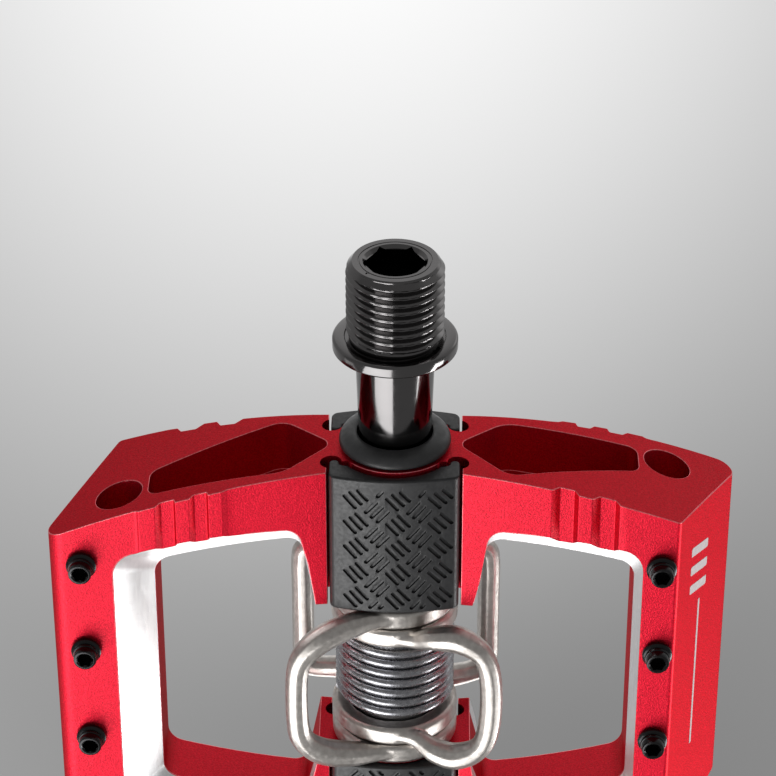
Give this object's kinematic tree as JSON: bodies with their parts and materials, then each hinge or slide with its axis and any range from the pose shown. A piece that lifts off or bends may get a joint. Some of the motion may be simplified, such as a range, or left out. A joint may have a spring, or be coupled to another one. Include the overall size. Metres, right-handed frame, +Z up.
{
  "type": "platform clip pedal",
  "caption": "Bicycle pedal: a wide concave platform with gripping pins and pads, sprung clip wings round its hub, and a threaded spindle.",
  "frame": {"origin": "on the spindle axis, at the flange face that seats on the crank", "axes": "+X forward on the bicycle, +Y outward along the spindle away from the crank, +Z up, square to the platform"},
  "size_m": [0.1016, 0.1077, 0.0275],
  "materials": {
    "body_red": "bead-blasted red anodising",
    "pad_black": "satin moulded",
    "rubber_black": "matt",
    "spindle_black": "glossy black",
    "pin_black": "black oxide",
    "wing_steel": "satin cast stainless",
    "bearing_steel": "ground",
    "spring_steel": "drawn wire",
    "bushing_bronze": "sintered",
    "cap_black": "black anodised"
  },
  "bodies": {
    "spindle": {"spindle": "spindle_black", "bearing_inner_race": "bearing_steel", "spindle_washer": "bearing_steel", "lock_nut": "bearing_steel"},
    "ball_set": {"bearing_balls": "bearing_steel"},
    "wing_a": {"wing_a": "wing_steel"},
    "wing_b": {"wing_b": "wing_steel"},
    "pedal_body": {"bearing_outer_race": "bearing_steel", "bearing_shield_inboard": "rubber_black", "bearing_shield_outboard": "rubber_black", "end_cap": "cap_black", "end_cap_oring": "rubber_black", "glide_bushing": "bushing_bronze", "hub_sleeve": "bearing_steel", "inner_seal": "rubber_black", "lip_seal": "rubber_black", "pad_bottom_inboard": "pad_black", "pad_bottom_outboard": "pad_black", "pad_top_inboard": "pad_black", "pad_top_outboard": "pad_black", "pedal_body": "body_red", "pin_bottom_leading_1": "pin_black", "pin_bottom_leading_2": "pin_black", "pin_bottom_leading_3": "pin_black", "pin_bottom_leading_4": "pin_black", "pin_bottom_trailing_1": "pin_black", "pin_bottom_trailing_2": "pin_black", "pin_bottom_trailing_3": "pin_black", "pin_bottom_trailing_4": "pin_black", "pin_top_leading_1": "pin_black", "pin_top_leading_2": "pin_black", "pin_top_leading_3": "pin_black", "pin_top_leading_4": "pin_black", "pin_top_trailing_1": "pin_black", "pin_top_trailing_2": "pin_black", "pin_top_trailing_3": "pin_black", "pin_top_trailing_4": "pin_black", "wing_spring": "spring_steel"}
  },
  "joints": [
    {"name": "pedal_spin", "type": "hinge", "parent": "spindle", "child": "pedal_body", "pos_m": [0, 0.0568, 0], "axis": [0, 1, 0], "continuous": true},
    {"name": "ball_orbit", "type": "hinge", "parent": "spindle", "child": "ball_set", "pos_m": [0, 0.0857, 0], "axis": [0, 1, 0], "continuous": true},
    {"name": "wing_a_open", "type": "hinge", "parent": "pedal_body", "child": "wing_a", "pos_m": [0, 0.0568, 0], "axis": [0, 1, 0], "range_deg": [0, 25], "stiffness_Nm_per_rad": 0.3, "springref_deg": -5.73},
    {"name": "wing_b_open", "type": "hinge", "parent": "pedal_body", "child": "wing_b", "pos_m": [0, 0.0568, 0], "axis": [0, -1, 0], "range_deg": [0, 25], "stiffness_Nm_per_rad": 0.3, "springref_deg": -5.73}
  ],
  "couplings": [
    {"joint": "ball_orbit", "follows": "pedal_spin", "ratio": 0.575}
  ]
}
